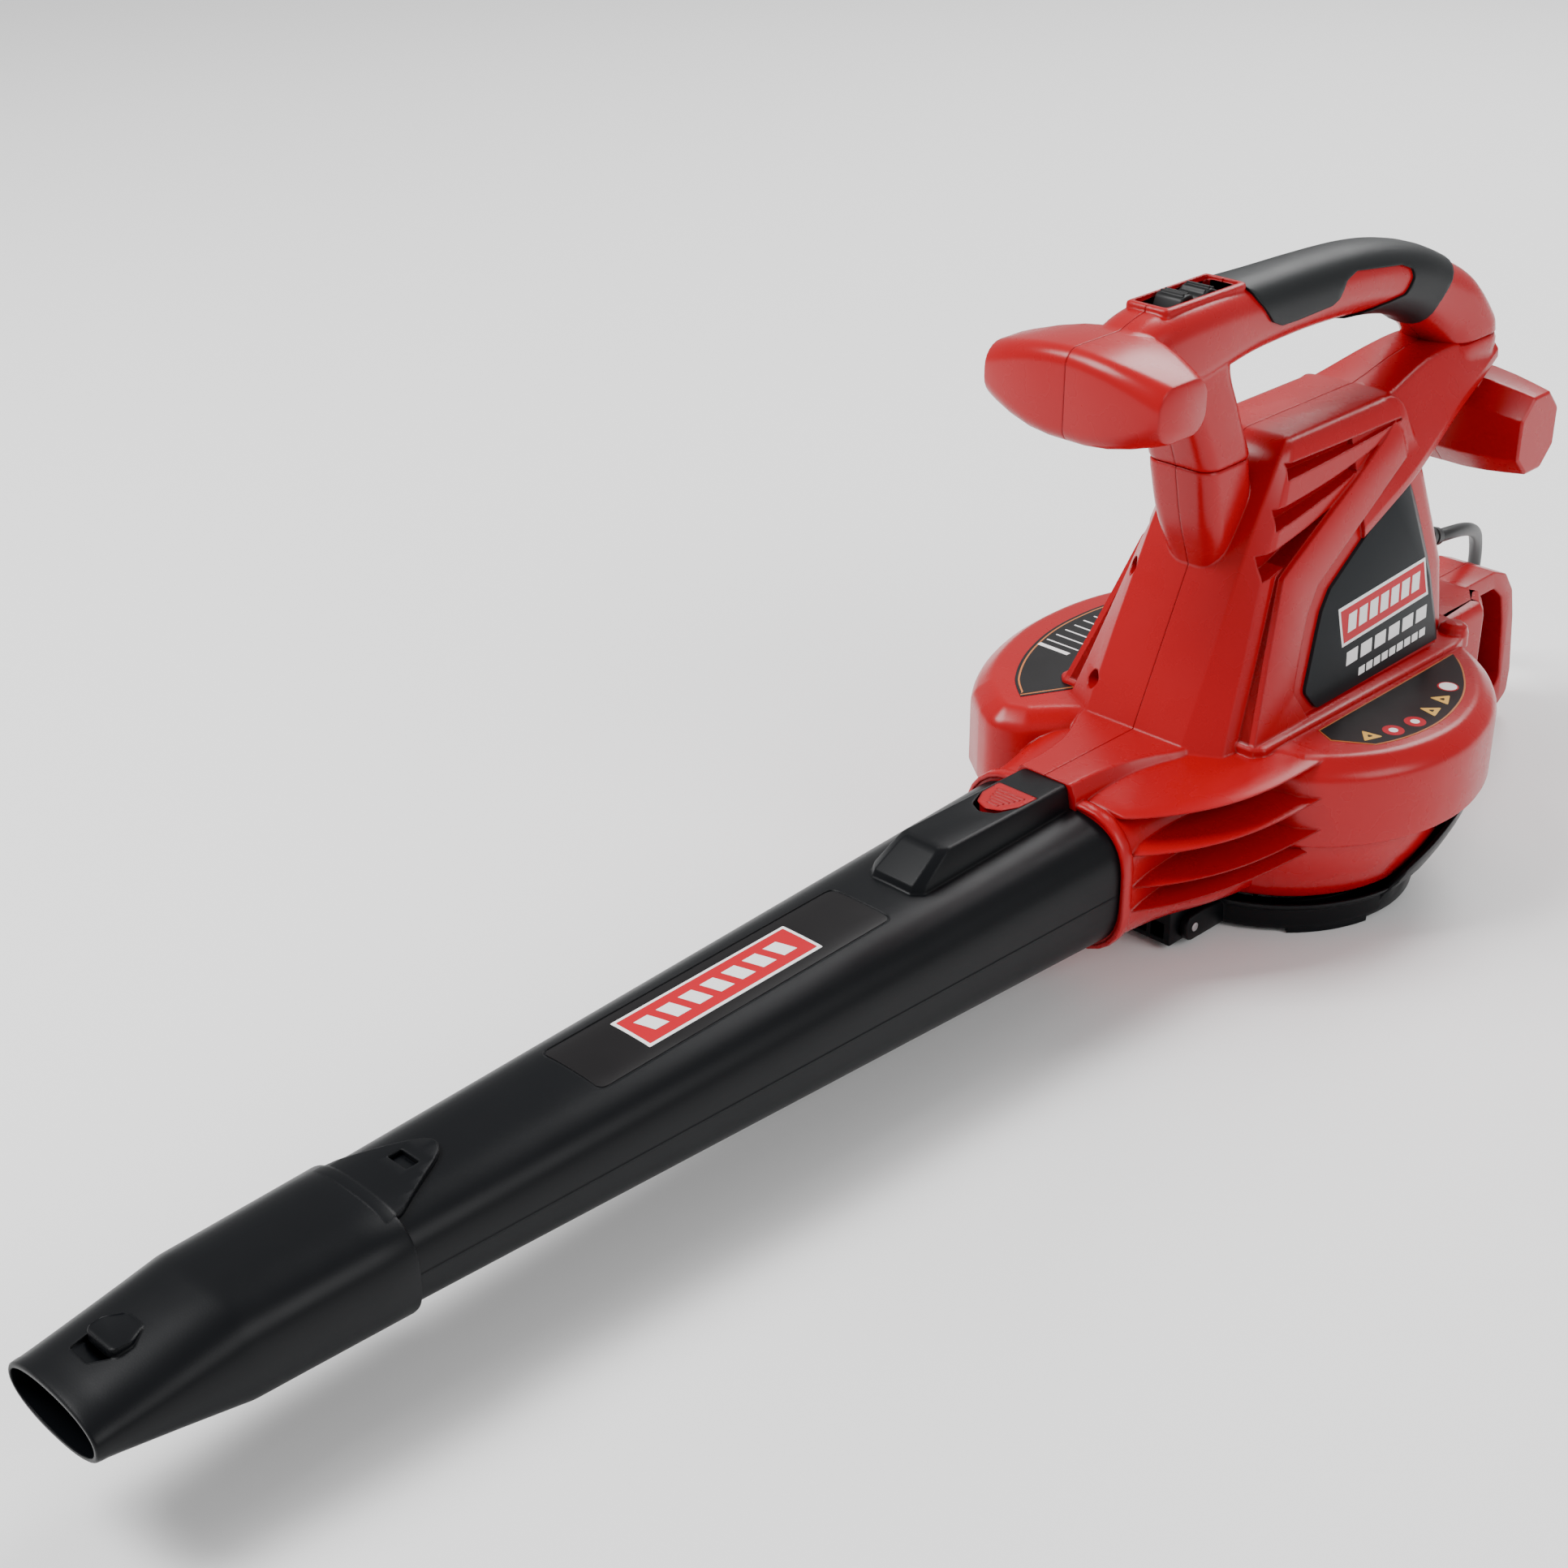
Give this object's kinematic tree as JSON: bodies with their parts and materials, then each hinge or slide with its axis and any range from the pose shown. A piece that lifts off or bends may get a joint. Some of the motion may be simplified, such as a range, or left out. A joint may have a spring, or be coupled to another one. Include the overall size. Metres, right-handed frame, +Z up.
{
  "type": "corded leaf blower",
  "caption": "Hand-held corded leaf blower: scroll-shaped fan housing with a top handle, tapered blower tube with a flat nozzle, and a hinged intake cover.",
  "frame": {"origin": "on the floor plane, in the plane that the handle, tube and nozzle share, midway between the nozzle mouth and the rear loop; the fan axis stands 20 mm to its +X side and 235 mm behind it", "axes": "+Z up, tube and nozzle point along -Y, +X to the right of someone looking along +Y"},
  "size_m": [0.3375, 1.026, 0.334],
  "materials": {
    "red_shell": "satin moulded plastic",
    "black_shell": "satin moulded plastic",
    "black_trim": "fine texture",
    "soft_grip": "matt overmould",
    "dark_panel": "satin",
    "dark_plate": "printed film",
    "badge": "gloss film",
    "dark_metal": "satin",
    "steel": "laminated",
    "bright_steel": "turned",
    "copper": "wound copper",
    "brass_part": "plain",
    "cord_rubber": "matt"
  },
  "bodies": {
    "housing": {"housing_left": "red_shell", "housing_right": "red_shell", "lower_drum": "red_shell", "handle_left": "red_shell", "handle_right": "red_shell", "grip": "soft_grip", "side_panel_left": "dark_panel", "side_panel_right": "dark_panel", "badge_right": "badge", "deck_plate_left": "dark_plate", "deck_plate_right": "dark_plate", "switch_body": "black_trim", "hinge_block": "black_shell", "hinge_pin": "steel", "motor_base": "dark_metal", "stator": "steel", "field_coils": "copper", "brush_holders": "brass_part", "top_bracket": "dark_metal", "bearing_lower": "bright_steel", "bearing_upper": "bright_steel", "strain_relief": "cord_rubber", "cord": "cord_rubber", "plug_body": "cord_rubber", "plug_blades": "brass_part", "housing_screws": "bright_steel"},
    "fan": {"rotor": "steel", "commutator": "copper", "shaft": "bright_steel", "impeller": "black_shell", "impeller_nut": "bright_steel"},
    "rocker": {"speed_switch": "black_trim"},
    "cover": {"intake_cover": "black_shell", "intake_grille": "black_shell"},
    "blower_tube": {"tube": "black_shell", "tube_badge": "badge", "button_spring": "bright_steel"},
    "button": {"release_button": "red_shell"},
    "mouthpiece": {"nozzle": "black_shell"}
  },
  "joints": [
    {"name": "fan_spin", "type": "hinge", "parent": "housing", "child": "fan", "pos_m": [0.02, 0.235, 0.1], "axis": [0, 0, 1], "continuous": true},
    {"name": "speed_rocker", "type": "hinge", "parent": "housing", "child": "rocker", "pos_m": [0, 0.153, 0.319], "axis": [1, 0, 0], "range_deg": [-12, 12]},
    {"name": "cover_hinge", "type": "hinge", "parent": "housing", "child": "cover", "pos_m": [0.02, 0.134, 0.011], "axis": [-1, 0, 0], "range_deg": [0, 110]},
    {"name": "tube_pull", "type": "slide", "parent": "housing", "child": "blower_tube", "axis": [0, -1, 0], "range_m": [0, 0.06]},
    {"name": "button_press", "type": "slide", "parent": "blower_tube", "child": "button", "axis": [0, 0, -1], "range_m": [0, 0.0025], "stiffness_N_per_m": 900, "deforming": ["button_spring"]},
    {"name": "nozzle_pull", "type": "slide", "parent": "blower_tube", "child": "mouthpiece", "axis": [0, -1, 0], "range_m": [0, 0.1]}
  ]
}
